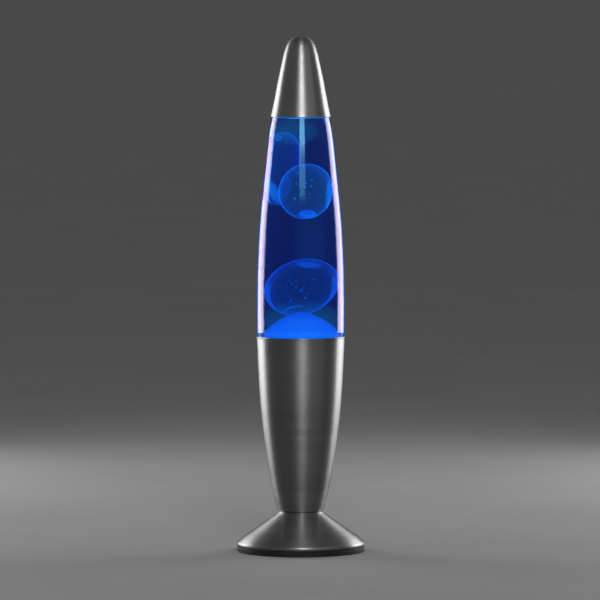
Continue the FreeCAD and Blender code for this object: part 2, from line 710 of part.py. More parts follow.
def crown_cap():
    """Disc with a fluted skirt, crimped round the bead of the bottle's neck."""
    top = NECK_TOP + LINER_THICKNESS
    outer = Part.makeLoft([
        crown_ring(CROWN_SKIRT_RADIUS, CROWN_FLUTE_DEPTH, CROWN_SKIRT_BOTTOM),
        crown_ring(CROWN_SKIRT_RADIUS, CROWN_FLUTE_DEPTH, (CROWN_SKIRT_BOTTOM + top) / 2),
        crown_ring(CROWN_TOP_RADIUS, 0.01, top + CROWN_SHEET),
    ], True)
    inner = Part.makeLoft([
        crown_ring(CROWN_SKIRT_RADIUS - CROWN_SHEET, CROWN_FLUTE_DEPTH, CROWN_SKIRT_BOTTOM),
        crown_ring(CROWN_SKIRT_RADIUS - CROWN_SHEET, CROWN_FLUTE_DEPTH, (CROWN_SKIRT_BOTTOM + top) / 2),
        crown_ring(CROWN_TOP_RADIUS - CROWN_SHEET, 0.01, top),
    ], True)
    return outer.cut(inner)


def crown_liner():
    return disc(CROWN_TOP_RADIUS - CROWN_SHEET - 0.2, NECK_TOP, NECK_TOP + LINER_THICKNESS)


# ---------------------------------------------------------------- cap
def cap_outline():
    """Outside of the cap, from its round nose down to its lower edge."""
    return outline((
        "curve", (0, TOTAL_HEIGHT), (3.0, 339.6), (5.7, 338.4), (8.4, 335.7), (10.0, 332.2),
        (12.4, 323.0), (15.0, 311.0), (17.5, 298.0), (CAP_RADIUS, CAP_BOTTOM),
    ))


def top_cap():
    return sheet(cap_outline(), -CAP_SHEET)


# ---------------------------------------------------------------- write every node
WASHER_UNDER_NUT = NUT_POCKET_TOP - WASHER_THICKNESS
TAG_BOTTOM = SEAM_HEIGHT + SHEET
UPPER_WASHER_BOTTOM = TAG_BOTTOM + TAG_THICKNESS
UPPER_NUT_BOTTOM = UPPER_WASHER_BOTTOM + WASHER_THICKNESS

save("foot_pad", foot_pad())
save("foot_shell", foot_shell())
save("foot_weight", foot_weight())
save("base_plate", base_plate())
save("base_plate_screws", *base_plate_screws())
save("cord_bushing", cord_bushing())
save("threaded_rod", threaded_rod())
save("rod_nuts", rod_nut(WASHER_UNDER_NUT - NUT_HEIGHT), rod_nut(UPPER_NUT_BOTTOM))
save("lock_washers", lock_washer(WASHER_UNDER_NUT), lock_washer(UPPER_WASHER_BOTTOM))
save("earth_tag", earth_tag(TAG_BOTTOM))
save("body_shell", body_shell())

save("holder_body", holder_body())
save("holder_sleeve", holder_sleeve())
save("holder_terminals", *holder_terminals())
save("terminal_screws", *terminal_screws())
save("contact_plunger", contact_plunger())
save("contact_spring", contact_spring())

save("bulb_glass", sheet(bulb_outline(), BULB_GLASS_WALL))
save("bulb_screw_cap", screw_cap())
save("bulb_insulator", bulb_insulator())
save("bulb_contact", bulb_contact())
save("bulb_stem", bulb_stem())
save("bulb_lead_wires", *bulb_lead_wires())
save("bulb_filament", bulb_filament())

CAVITY = bottle_cavity()
MOUND = wax_mound(CAVITY)
LOWER_BLOB = wax_blob_lower(MOUND)
FRONT_BLOB = wax_blob_front()
REAR_BLOB = wax_blob_rear()
DROPLETS = wax_droplets()
save("glass_bottle", glass_bottle())
save("wax_mound", MOUND)
save("wax_blob_lower", LOWER_BLOB)
save("wax_blob_front", FRONT_BLOB)
save("wax_blob_rear", REAR_BLOB)
save("wax_droplets", *DROPLETS)
save("wire_coil", wire_coil())
save("liquid", liquid(CAVITY, [MOUND, LOWER_BLOB, FRONT_BLOB, REAR_BLOB] + DROPLETS))
save("crown_cap", crown_cap())
save("crown_liner", crown_liner())

save("top_cap", top_cap())
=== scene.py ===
import json
import math

import bmesh
import bpy
import numpy as np
from mathutils import Matrix, Vector


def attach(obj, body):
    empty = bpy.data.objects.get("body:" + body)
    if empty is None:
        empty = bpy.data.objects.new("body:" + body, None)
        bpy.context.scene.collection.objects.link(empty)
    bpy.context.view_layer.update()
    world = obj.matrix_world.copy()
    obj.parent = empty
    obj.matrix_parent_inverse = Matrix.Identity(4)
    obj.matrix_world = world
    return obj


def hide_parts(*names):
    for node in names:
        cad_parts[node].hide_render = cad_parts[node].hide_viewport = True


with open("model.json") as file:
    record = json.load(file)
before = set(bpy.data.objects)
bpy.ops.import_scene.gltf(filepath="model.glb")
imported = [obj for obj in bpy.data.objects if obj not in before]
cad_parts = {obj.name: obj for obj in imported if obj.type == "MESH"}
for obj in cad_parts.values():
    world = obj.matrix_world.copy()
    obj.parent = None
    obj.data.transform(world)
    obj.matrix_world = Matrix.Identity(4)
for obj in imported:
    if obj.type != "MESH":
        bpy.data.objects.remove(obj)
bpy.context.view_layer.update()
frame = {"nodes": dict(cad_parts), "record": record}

# Looks of the lava lamp: a finish for every CAD part, fine meshes for the glass, the liquid
# and the wax, a pale floor and studio lights. Shapes are measured in millimetres, the camera
# and the lights in metres.

MM = 0.001
NODES = frame["nodes"]
SLOT_OF = {part["node"]: part["material_slot"] for part in frame["record"]["subparts"]}


def aimed(direction):
    """The rotation that points a camera or a light panel along a direction."""
    return direction.to_track_quat("-Z", "Y").to_euler()


# ---------------------------------------------------------------- camera
CAMERA_DISTANCE = 3.4
CAMERA_HEIGHT = 0.348
CAMERA_LENS = 310.0
CAMERA_SIDE = -0.0005
CAMERA_TARGET_HEIGHT = 0.166
NEAREST_SEEN = 0.05
FARTHEST_SEEN = 50.0


def add_camera():
    camera = bpy.data.objects.new("camera", bpy.data.cameras.new("camera"))
    bpy.context.scene.collection.objects.link(camera)
    camera.data.lens = CAMERA_LENS
    camera.data.clip_start = NEAREST_SEEN
    camera.data.clip_end = FARTHEST_SEEN
    camera.location = (CAMERA_SIDE, -CAMERA_DISTANCE, CAMERA_HEIGHT)
    target = Vector((CAMERA_SIDE, 0, CAMERA_TARGET_HEIGHT))
    camera.rotation_euler = aimed(target - camera.location)
    bpy.context.scene.camera = camera


# ---------------------------------------------------------------- lights
WHITE = (1.0, 1.0, 1.0)
LAVENDER = (1.0, 0.64, 0.92)
ICE_BLUE = (0.34, 0.78, 1.0)


def both_sides(name, azimuth, *rest):
    """The same light on the lamp's left and on its right."""
    return (f"left_{name}", -azimuth, *rest), (f"right_{name}", azimuth, *rest)


# Each light: name, azimuth, distance, width, lower edge, upper edge, brightness, colour.
# Azimuth 0 is the camera's side and 90 is the lamp's right.

# lights for everything but the bottle's glass
METAL_LIGHTS = (
    *both_sides("softbox", 125.5, 0.9, 0.44, 0.01, 0.57, 3.7, WHITE),
    *both_sides("rim_light", 147.0, 0.9, 0.20, 0.01, 0.46, 2.3, WHITE),
    ("front_strip", 5.0, 2.0, 0.66, 0.60, 1.60, 5.4, WHITE),
    ("cap_glow", 5.0, 2.01, 1.50, 1.00, 1.60, 0.8, WHITE),
    ("right_fill", 45.0, 2.0, 1.40, 0.20, 1.60, 0.22, WHITE),
)
# lights that the bottle mirrors along its edges
MIRRORED_LIGHTS = (
    *both_sides("mirrored", 127.0, 0.9, 0.39, 0.01, 0.62, 5.8, LAVENDER),
    *both_sides("mirrored_edge", 143.5, 0.9, 0.18, 0.01, 0.42, 4.0, LAVENDER),
)
# lights that are seen through the bottle; they stand just behind the mirrored ones, since
# panels at the same distance hide each other
BACK_LIGHTS = both_sides("back_light", 127.0, 0.91, 0.39, 0.01, 0.62, 3.6, WHITE)

# the bottle's upright highlight in front: azimuth, distance and width of its panels
STRIP_PLACE = (5.0, 2.0, 0.66)
STRIP_TOP = 1.40
STRIP_GLOW = 5.6
# between these heights the strip dies away downwards in steps
FADE_TOP = 0.71
FADE_BOTTOM = 0.55
FADE_STEPS = 8
FADE_POWER = 1.3

# sine of the elevation, brightness of the studio's walls and ceiling
SURROUNDINGS = ((0.0, 0.066), (0.30, 0.10), (0.50, 0.20), (0.85, 0.06))


def add_softbox(name, azimuth, distance, width, bottom, top, brightness, colour):
    """An upright light panel that faces the lamp and isn't seen by the camera."""
    light = bpy.data.lights.new(name, "AREA")
    light.shape = "RECTANGLE"
    light.size = width
    light.size_y = top - bottom
    light.energy = brightness * math.pi * light.size * light.size_y
    light.color = colour
    panel = bpy.data.objects.new(name, light)
    bpy.context.scene.collection.objects.link(panel)
    angle = math.radians(azimuth)
    outward = Vector((math.sin(angle), -math.cos(angle), 0))
    panel.rotation_euler = aimed(-outward)
    panel.location = outward * distance + Vector((0, 0, (top + bottom) / 2))
    panel.visible_camera = False
    return panel


def add_bottle_strip():
    """A cool strip light that dies away towards its lower end, as stacked panels."""
    panels = [add_softbox("bottle_strip", *STRIP_PLACE, FADE_TOP, STRIP_TOP, STRIP_GLOW, ICE_BLUE)]
    rise = (FADE_TOP - FADE_BOTTOM) / FADE_STEPS
    for step in range(FADE_STEPS):
        bottom = FADE_BOTTOM + step * rise
        glow = STRIP_GLOW * ((step + 0.5) / FADE_STEPS) ** FADE_POWER
        name = f"bottle_strip_fade_{step}"
        panels.append(add_softbox(name, *STRIP_PLACE, bottom, bottom + rise, glow, ICE_BLUE))
    return panels


def link_lights(panels, name, glass, state):
    """Let the panels light only the glass (INCLUDE) or everything else (EXCLUDE)."""
    receivers = bpy.data.collections.new(name)
    receivers.objects.link(glass)
    receivers.collection_objects[0].light_linking.link_state = state
    for panel in panels:
        panel.light_linking.receiver_collection = receivers


def add_lights(glass):
    """Light the lamp: some lights reach only the bottle's glass and some all but the glass."""
    metal_panels = [add_softbox(*light) for light in METAL_LIGHTS]
    mirrored_panels = [add_softbox(*light) for light in MIRRORED_LIGHTS]
    back_panels = [add_softbox(*light) for light in BACK_LIGHTS]
    strip_panels = add_bottle_strip()
    for panel in mirrored_panels:
        panel.visible_transmission = False
    for panel in back_panels:
        panel.visible_glossy = False
    link_lights(mirrored_panels + back_panels + strip_panels, "glass_only", glass, "INCLUDE")
    link_lights(metal_panels, "no_glass", glass, "EXCLUDE")


def add_world():
    """Grey studio walls and ceiling, as a brightness that depends on the elevation alone."""
    world = bpy.data.worlds.new("studio")
    bpy.context.scene.world = world
    world.use_nodes = True
    nodes, links = world.node_tree.nodes, world.node_tree.links
    direction = nodes.new("ShaderNodeTexCoord").outputs["Generated"]
    upward = nodes.new("ShaderNodeSeparateXYZ")
    walls = nodes.new("ShaderNodeValToRGB")
    links.new(direction, upward.inputs[0])
    links.new(upward.outputs["Z"], walls.inputs[0])
    links.new(walls.outputs[0], nodes["Background"].inputs["Color"])
    stops = walls.color_ramp.elements
    while len(stops) < len(SURROUNDINGS):
        stops.new(0.5)
    for stop, (height, brightness) in zip(stops, SURROUNDINGS):
        stop.position = height
        stop.color = (brightness, brightness, brightness, 1)


# ---------------------------------------------------------------- finishes
# nearly all values of a noise texture lie between these
NOISE_LOW = 0.3
NOISE_HIGH = 0.7

GLASS_IOR = 1.5
LIQUID_IOR = 1.333


class Finish:
    """A material built from its Principled shader's plain values and the textures added to them."""

    def __init__(self, name, **values):
        self.name = name
        self.material = bpy.data.materials.new(name)
        self.material.use_nodes = True
        self.tree = self.material.node_tree
        self.shader = self.tree.nodes["Principled BSDF"]
        for socket, value in values.items():
            self.shader.inputs[socket.replace("_", " ")].default_value = value
        self.place = self.add("ShaderNodeTexCoord").outputs["Object"]

    def add(self, kind, settings=None, **inputs):
        """A node with plain values or links on its inputs, by name or, as i0, i1, by number."""
        node = self.tree.nodes.new(kind)
        for name, value in (settings or {}).items():
            setattr(node, name, value)
        for name, value in inputs.items():
            key = int(name[1:]) if name[1:].isdigit() else name.replace("_", " ")
            socket = node.inputs[key]
            if isinstance(value, bpy.types.NodeSocket):
                self.tree.links.new(value, socket)
            else:
                socket.default_value = value
        return node

    def feed(self, socket, source):
        self.tree.links.new(source, self.shader.inputs[socket])

    def fill(self, kind, **inputs):
        """Fill the body under the surface with a volume shader."""
        volume = self.add(kind, **inputs)
        output = self.tree.nodes["Material Output"]
        self.tree.links.new(volume.outputs[0], output.inputs["Volume"])

    def maths(self, operation, first, second=0.0):
        return self.add("ShaderNodeMath", {"operation": operation}, i0=first, i1=second).outputs[0]

    def stretched(self, across, along):
        """Object coordinates stretched so that noise runs round the lamp in fine lines."""
        x, y, z = self.add("ShaderNodeSeparateXYZ", i0=self.place).outputs
        squares = self.maths("ADD", self.maths("MULTIPLY", x, x), self.maths("MULTIPLY", y, y))
        profile = self.maths("SUBTRACT", self.maths("SQRT", squares), z)
        return self.add(
            "ShaderNodeCombineXYZ",
            i0=self.maths("MULTIPLY", x, across),
            i1=self.maths("MULTIPLY", y, across),
            i2=self.maths("MULTIPLY", profile, along),
        ).outputs[0]

    def noise(self, scale, detail=3.0, vector=None, roughness=0.5):
        return self.add(
            "ShaderNodeTexNoise",
            Vector=vector or self.place,
            Scale=scale,
            Detail=detail,
            Roughness=roughness,
        ).outputs[0]

    def tint(self, source, first, second):
        """Mix two colours by a noise value."""
        ramp = self.add("ShaderNodeValToRGB", i0=source)
        ends = ((NOISE_LOW, first), (NOISE_HIGH, second))
        for element, (position, colour) in zip(ramp.color_ramp.elements, ends):
            element.position = position
            element.color = (*colour, 1)
        self.feed("Base Color", ramp.outputs[0])

    def rough(self, source, low, high):
        """Spread the roughness from low to high by a noise value."""
        spread = self.add(
            "ShaderNodeMapRange", i0=source, i1=NOISE_LOW, i2=NOISE_HIGH, i3=low, i4=high
        )
        self.feed("Roughness", spread.outputs[0])

    def relief(self, source, depth):
        """Raise the surface by a noise value, up to a depth in metres."""
        bump = self.add("ShaderNodeBump", Height=source, Distance=depth, Strength=1.0)
        self.feed("Normal", bump.outputs[0])


def spun_aluminium():
    """Satin aluminium with the fine rings that spinning and brushing on a lathe leave."""
    finish = Finish("spun_aluminium", Metallic=1.0, Anisotropic=0.75, Anisotropic_Rotation=0.25)
    tangent = finish.add("ShaderNodeTangent", {"direction_type": "RADIAL", "axis": "Z"})
    finish.feed("Tangent", tangent.outputs[0])
    rings = finish.noise(1.0, 4.0, finish.stretched(12.0, 5200.0), 0.7)
    bands = finish.noise(1.0, 3.0, finish.stretched(20.0, 420.0))
    mixed = finish.maths(
        "ADD", finish.maths("MULTIPLY", rings, 0.5), finish.maths("MULTIPLY", bands, 0.5)
    )
    finish.tint(mixed, (0.38, 0.38, 0.385), (0.46, 0.46, 0.465))
    finish.rough(bands, 0.36, 0.42)
    finish.relief(rings, 0.000004)
    return finish


def plain_finish(name, dark, light, scale, rough, metallic=0.0, depth=0.00002):
    """A solid finish with mottled colour, uneven gloss and slight relief."""
    finish = Finish(name, Metallic=metallic)
    broad = finish.noise(scale, 4.0)
    fine = finish.noise(scale * 9, 3.0)
    finish.tint(broad, dark, light)
    finish.rough(fine, *rough)
    finish.relief(fine, depth)
    return finish


def clear_glass(name, **values):
    """Clear glass with a faint waviness."""
    finish = Finish(
        name,
        Base_Color=(0.985, 0.992, 1.0, 1),
        Roughness=0.0,
        IOR=GLASS_IOR,
        Transmission_Weight=1.0,
        **values,
    )
    finish.relief(finish.noise(35.0, 1.0), 0.000008)
    return finish


def blue_liquid():
    """Clear liquid that soaks up red light on the way through, with a faint painted glow that
    stands for the bulb's light scattered in it.
    """
    finish = Finish(
        "blue_liquid",
        Base_Color=(1, 1, 1, 1),
        Roughness=0.0,
        IOR=LIQUID_IOR,
        Transmission_Weight=1.0,
        # painted glow: the bulb's light scattered in the liquid
        Emission_Color=(0.0, 0.07, 1.0, 1),
        Emission_Strength=0.065,
    )
    finish.fill("ShaderNodeVolumeAbsorption", Color=(0.0, 0.66, 0.87, 1), Density=200.0)
    return finish


def glowing_wax():
    """The settled wax. The bulb lights it from below, which is shown as a glow of its own."""
    finish = Finish(
        "wax",
        IOR=1.1,
        Specular_IOR_Level=0.1,
        Emission_Color=(0.0, 0.20, 1.0, 1),
        Emission_Strength=1.0,
    )
    soft = finish.noise(90.0, 2.0)
    finish.tint(soft, (0.0, 0.10, 0.75), (0.0, 0.16, 0.95))
    finish.rough(soft, 0.35, 0.5)
    finish.relief(soft, 0.0004)
    return finish


def molten_wax():
    """Wax floating as a clear melt in the liquid; its index is relative to the liquid's."""
    finish = Finish("molten_wax", Roughness=0.0, IOR=1.12, Transmission_Weight=1.0)
    finish.tint(finish.noise(160.0, 2.0), (0.90, 0.95, 0.97), (0.97, 0.99, 1.0))
    finish.fill("ShaderNodeVolumeAbsorption", Color=(0.2, 0.3, 0.42, 1), Density=80.0)
    return finish


def haze(name, colour, glow):
    """Painted glow standing for light scattered by cloudy wax or liquid: a body with no surface
    that glows all through.
    """
    finish = Finish(name, Alpha=0.0)
    finish.fill("ShaderNodeEmission", Color=(*colour, 1), Strength=glow)
    return finish


def lit_edge(name, colour, glow):
    """A thin line or grain with a painted highlight: it glows by its own emission."""
    finish = Finish(name, IOR=LIQUID_IOR, Emission_Color=(*colour, 1), Emission_Strength=glow)
    finish.tint(finish.noise(120.0), (0.0, 0.2, 0.8), (0.0, 0.3, 1.0))
    finish.rough(finish.noise(300.0), 0.1, 0.3)
    return finish


# plain finishes: name, two colours, scale of the mottling, roughness range, metallic, relief
FINISHES = {finish.name: finish.material for finish in (
    spun_aluminium(),
    plain_finish("pad_rubber", (0.010, 0.010, 0.011), (0.018, 0.018, 0.019), 300.0, (0.55, 0.75)),
    plain_finish("base_board", (0.02, 0.018, 0.017), (0.04, 0.036, 0.032), 260.0, (0.7, 0.9)),
    plain_finish(
        "cast_weight", (0.10, 0.10, 0.105), (0.17, 0.165, 0.16), 220.0, (0.6, 0.85), 0.4, 0.0001
    ),
    plain_finish("plated_steel", (0.55, 0.56, 0.58), (0.68, 0.67, 0.63), 400.0, (0.22, 0.38), 1.0),
    plain_finish("black_plastic", (0.014, 0.014, 0.015), (0.024, 0.024, 0.026), 500.0, (0.35, 0.5)),
    plain_finish("bakelite", (0.022, 0.015, 0.012), (0.040, 0.026, 0.020), 180.0, (0.25, 0.42)),
    plain_finish("brass", (0.66, 0.45, 0.18), (0.80, 0.60, 0.30), 250.0, (0.24, 0.42), 1.0),
    plain_finish("spring_steel", (0.30, 0.30, 0.31), (0.42, 0.42, 0.42), 500.0, (0.25, 0.4), 1.0),
    clear_glass("bulb_clear_glass"),
    plain_finish("bulb_black_glass", (0.02, 0.02, 0.03), (0.03, 0.03, 0.05), 300.0, (0.1, 0.2)),
    clear_glass("bottle_glass", Specular_Tint=(0.55, 0.7, 0.95, 1)),
    blue_liquid(),
    glowing_wax(),
    molten_wax(),
    # painted rim glow: shells round the blobs whose glow shows brightest along their outlines
    haze("wax_skin", (0.0, 0.27, 1.0), 3100.0),
    haze("deep_painted_rim_glow", (0.0, 0.34, 1.0), 4600.0),
    # painted glow patches in the wax and in the liquid
    haze("wax_haze", (0.0, 0.36, 1.0), 85.0),
    haze("rim_haze", (0.0, 0.34, 1.0), 190.0),
    haze("deep_wax_haze", (0.0, 0.6, 1.0), 230.0),
    haze("liquid_haze", (0.0, 1.0, 0.95), 5.0),
    # painted highlights for the liquid's lit edge and for the wax grains
    lit_edge("bright_edge", (0.02, 0.50, 1.0), 1.1),
    lit_edge("dim_edge", (0.0, 0.36, 1.0), 0.45),
    plain_finish("crown_tinplate", (0.72, 0.71, 0.67), (0.80, 0.79, 0.76), 300.0, (0.25, 0.4), 0.9),
    plain_finish("liner_plastic", (0.74, 0.74, 0.70), (0.84, 0.83, 0.80), 350.0, (0.45, 0.6)),
)}


# ---------------------------------------------------------------- outlines and turned meshes
CURVE_STEPS = 14
# a point nearer to the axis than this lies on it
ON_AXIS_MM = 1e-6


def slopes_along(points, chord):
    """Slopes of one smooth curve through the points, level where it meets the axis."""
    at = np.concatenate([[0.0], np.cumsum(chord)])
    count = len(points)
    order = min(3, count - 1)
    system = np.eye(count)
    wanted = np.zeros((count, 2))
    for end, near, inward in ((0, slice(0, 4), 1.0), (-1, slice(-4, None), -1.0)):
        wanted[end] = np.polyfit(at[near] - at[end], points[near], order)[-2]
        if points[end][0] < ON_AXIS_MM:
            wanted[end] = (inward, 0.0)
    for i in range(1, count - 1):
        before, after = chord[i - 1], chord[i]
        system[i, i - 1:i + 2] = after, 2 * (before + after), before
        wanted[i] = 3 * (
            after * (points[i] - points[i - 1]) / before
            + before * (points[i + 1] - points[i]) / after
        )
    return np.linalg.solve(system, wanted)


def smooth(*points):
    """A fine line along one smooth curve through the points."""
    points = np.array(points, float)
    chord = np.linalg.norm(np.diff(points, axis=0), axis=1)
    slopes = slopes_along(points, chord)
    line = []
    for i in range(len(chord)):
        for step in range(CURVE_STEPS):
            t = step / CURVE_STEPS
            line.append(
                (1 + 2 * t) * (1 - t) ** 2 * points[i]
                + t * (1 - t) ** 2 * chord[i] * slopes[i]
                + t * t * (3 - 2 * t) * points[i + 1]
                + t * t * (t - 1) * chord[i] * slopes[i + 1]
            )
    line.append(points[-1])
    return [tuple(point) for point in line]


def arc(centre, radius, start, end, steps):
    """Points round part of a circle; angles in degrees, 0 outwards and 90 up."""
    angles = [math.radians(start + (end - start) * step / steps) for step in range(steps + 1)]
    return [(centre[0] + radius * math.cos(a), centre[1] + radius * math.sin(a)) for a in angles]


def moved_in(line, depth):
    """The line moved sideways by depth, to the left of its direction of travel."""
    line = np.array(line)
    along = np.gradient(line, axis=0)
    along /= np.linalg.norm(along, axis=1)[:, None]
    sideways = np.stack([-along[:, 1], along[:, 0]], axis=1)
    return [tuple(point) for point in line + depth * sideways]


def finished(name, mesh, sharp_angle=40.0):
    """An object from a bmesh, smooth except over edges sharper than sharp_angle degrees."""
    data = bpy.data.meshes.new(name)
    mesh.to_mesh(data)
    mesh.free()
    data.shade_smooth()
    data.set_sharp_from_angle(angle=math.radians(sharp_angle))
    piece = bpy.data.objects.new(name, data)
    bpy.context.scene.collection.objects.link(piece)
    return piece


def turned(name, line, segments=192):
    """A closed mesh of revolution from an outline of (radius, height) points."""
    mesh = bmesh.new()
    rings = []
    for radius, height in line:
        if radius < ON_AXIS_MM:
            rings.append([mesh.verts.new((0, 0, height * MM))])
            continue
        ring = []
        for index in range(segments):
            angle = 2 * math.pi * index / segments
            x = radius * math.cos(angle) * MM
            y = radius * math.sin(angle) * MM
            ring.append(mesh.verts.new((x, y, height * MM)))
        rings.append(ring)
    closed = len(rings[0]) > 1 and len(rings[-1]) > 1
    pairs = list(zip(rings, rings[1:])) + ([(rings[-1], rings[0])] if closed else [])
    for first, second in pairs:
        for index in range(segments):
            following = (index + 1) % segments
            corners = [first[index % len(first)], second[index % len(second)]]
            if len(second) > 1:
                corners.append(second[following])
            if len(first) > 1:
                corners.append(first[following])
            if len(corners) > 2:
                mesh.faces.new(corners)
    bmesh.ops.recalc_face_normals(mesh, faces=mesh.faces)
    return finished(name, mesh)


# ---------------------------------------------------------------- dressing and placing
def dress(piece, finish):
    """Give every face of a piece one finish."""
    piece.data.materials.clear()
    piece.data.materials.append(FINISHES[finish])


def place(piece, node, finish, body="bottle"):
    """Let a piece stand for a CAD node and ride on that node's body."""
    dress(piece, finish)
    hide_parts(node)
    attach(piece, body)
    return piece


def add_detail(piece, finish):
    """Dress a piece that no CAD node stands for and let it ride with the bottle."""
    dress(piece, finish)
    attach(piece, "bottle")


# ---------------------------------------------------------------- bottle and liquid
GLASS_WALL_MM = 1.8
# the liquid's surface lies this deep in the glass, so that no air shows between them
LIQUID_OVERLAP_MM = 0.15
LIQUID_LEVEL_MM = 285.6
# the liquid curls up by this much where it meets the glass
LIQUID_CURL_MM = 1.4

# (radius, height) points of the bottle's outside, from its floor up to its mouth
BOTTLE_FLOOR = [(radius, 121.5) for radius in (0.0, 6.0, 12.0, 17.0)]
BOTTLE_HEEL = arc((19.8, 126.0), 4.5, -90, -5, 14)
BOTTLE_SIDE = smooth(
    (24.3, 125.9), (26.3, 134.0), (27.65, 141.3), (28.7, 143.9), (29.0, 147.5), (29.08, 156.0),
    (29.08, 163.0), (28.5, 192.4), (26.6, 224.1), (23.3, 255.8), (20.0, 281.5), (18.85, 286.9),
)
BOTTLE_SHOULDER = smooth((18.85, 286.9), (17.9, 289.8), (14.7, 293.8), (12.8, 297.4))
BOTTLE_NECK = [(12.8, height) for height in (298.4, 299.2)]
BOTTLE_BEAD = [
    (13.0, 299.5), (13.3, 300.1), (13.3, 301.2), (13.0, 301.8), (12.8, 302.3), (12.6, 302.8),
]
BOTTLE_MOUTH = [(11.2, 302.8), (11.0, 302.4)]
# floor to neck in one line; side and shoulder start at or near the end of the line before them,
# so their first points are left out
BOTTLE_OUTSIDE = BOTTLE_FLOOR + BOTTLE_HEEL + BOTTLE_SIDE[1:] + BOTTLE_SHOULDER[1:] + BOTTLE_NECK


def bottle_inside(depth):
    """The cavity's outline from its floor up to the neck, at a depth under the glass's outside."""
    return [(max(radius, 0.0), height) for radius, height in moved_in(BOTTLE_OUTSIDE, depth)]


def make_bottle():
    inside = bottle_inside(GLASS_WALL_MM)
    return turned("bottle_glass_wall", BOTTLE_OUTSIDE + BOTTLE_BEAD + BOTTLE_MOUTH + inside[::-1])


def make_liquid():
    wall = bottle_inside(GLASS_WALL_MM - LIQUID_OVERLAP_MM)
    top = LIQUID_LEVEL_MM + LIQUID_CURL_MM
    filled = [point for point in wall if point[1] < top]
    surface = smooth(
        (filled[-1][0] - 0.05, top),
        (16.2, LIQUID_LEVEL_MM + 0.4),
        (14.0, LIQUID_LEVEL_MM + 0.05),
        (0.0, LIQUID_LEVEL_MM),
    )
    return turned("liquid_column", filled + surface)


# ---------------------------------------------------------------- settled wax
# (radius, height) points of the dome, from outside the glass to its top
MOUND_DOME = smooth(
    (30.0, 137.6), (24.8, 139.6), (22.0, 141.8), (19.8, 144.4), (17.0, 148.0), (12.2, 152.8),
    (7.3, 156.1), (3.3, 157.9), (0, 158.5),
)
MOUND_GAP_MM = 0.12
MOUND_EDGE_MM = 138.1
# the dome's top sits to the right and in front of the axis; the shift grows over this height
MOUND_SHIFT_MM = (0.5, -3.0)
MOUND_SHIFT_START_MM = 138.0
MOUND_SHIFT_RISE_MM = 8.0


def make_mound():
    """The settled wax: it fills the bottle's foot and rises to a dome."""
    inside = bottle_inside(GLASS_WALL_MM + MOUND_GAP_MM)
    wall = [point for point in inside if point[1] < MOUND_EDGE_MM]
    dome = [point for point in MOUND_DOME if point[0] < wall[-1][0]]
    piece = turned("wax_mound_dome", wall + dome)
    for vertex in piece.data.vertices:
        height = vertex.co.z / MM
        share = min(max((height - MOUND_SHIFT_START_MM) / MOUND_SHIFT_RISE_MM, 0.0), 1.0)
        vertex.co.x += MOUND_SHIFT_MM[0] * MM * share
        vertex.co.y += MOUND_SHIFT_MM[1] * MM * share
    return piece


# ---------------------------------------------------------------- floating wax
BLOB_SEGMENTS = 128
BLOB_STEP_DEGREES = 3
# the shell of painted rim glow lies this far outside its blob
RIM_GLOW_GAP_MM = 0.03

# the rear column: its two ends, and (radius, distance from its lower end) points between them
COLUMN_LOWER_END = Vector((-9.8, 12.6, 227.6))
COLUMN_UPPER_END = Vector((-7.0, 8.4, 275.4))
COLUMN_OUTLINE = (
    (0, 0), (2.9, 0.9), (5.2, 3.2), (6.9, 8.0), (7.3, 14.0), (7.0, 22.0),
    (7.8, 32.0), (7.0, 39.5), (5.0, 44.4), (2.7, 47.1),
)

# a thread's thickness at its ends, as a share of the rest
THREAD_TIP = 0.4

# grains of wax: their radii, and how far out they lie as a share of their cloud's radius
GRAIN_RADII_MM = (0.30, 0.55)
GRAIN_SPREAD = (0.2, 0.95)


def make_ball(name, half_length, half_width, tilt, centre):
    """An egg-round blob of melt, leaning from +Z towards +X by tilt degrees."""
    line = []
    for degrees in range(-90, 91, BLOB_STEP_DEGREES):
        angle = math.radians(degrees)
        line.append((half_width * math.cos(angle), half_length * math.sin(angle)))
    line[0] = (0.0, -half_length)
    line[-1] = (0.0, half_length)
    piece = turned(name, line, BLOB_SEGMENTS)
    lean = Matrix.Rotation(math.radians(tilt), 4, "Y")
    piece.data.transform(Matrix.Translation(Vector(centre) * MM) @ lean)
    return piece


def make_column(name):
    """A long column of melt with a slight waist, leaning outwards as it goes down."""
    axis = COLUMN_UPPER_END - COLUMN_LOWER_END
    piece = turned(name, smooth(*COLUMN_OUTLINE, (0, axis.length)), BLOB_SEGMENTS)
    lean = axis.to_track_quat("Z", "Y").to_matrix().to_4x4()
    piece.data.transform(Matrix.Translation(COLUMN_LOWER_END * MM) @ lean)
    return piece


def make_balls(name, *radius_and_centre):
    """Several small balls as one piece."""
    mesh = bmesh.new()
    for radius, centre in radius_and_centre:
        middle = Matrix.Translation(Vector(centre) * MM)
        bmesh.ops.create_icosphere(mesh, subdivisions=4, radius=radius * MM, matrix=middle)
    return finished(name, mesh)


def add_rim_glow_shell(piece, finish, thickness):
    """A thin closed shell just outside a blob that carries its painted rim glow."""
    mesh = bmesh.new()
    for distance, is_inner in ((RIM_GLOW_GAP_MM, True), (RIM_GLOW_GAP_MM + thickness, False)):
        layer = bmesh.new()
        layer.from_mesh(piece.data)
        layer.normal_update()
        for vertex in layer.verts:
            vertex.co += vertex.normal * distance * MM
        if is_inner:
            bmesh.ops.reverse_faces(layer, faces=layer.faces)
        data = bpy.data.meshes.new("layer")
        layer.to_mesh(data)
        layer.free()
        mesh.from_mesh(data)
        bpy.data.meshes.remove(data)
    # the shell's object is named after its blob with _skin; it holds the painted rim glow
    add_detail(finished(piece.name + "_skin", mesh), finish)


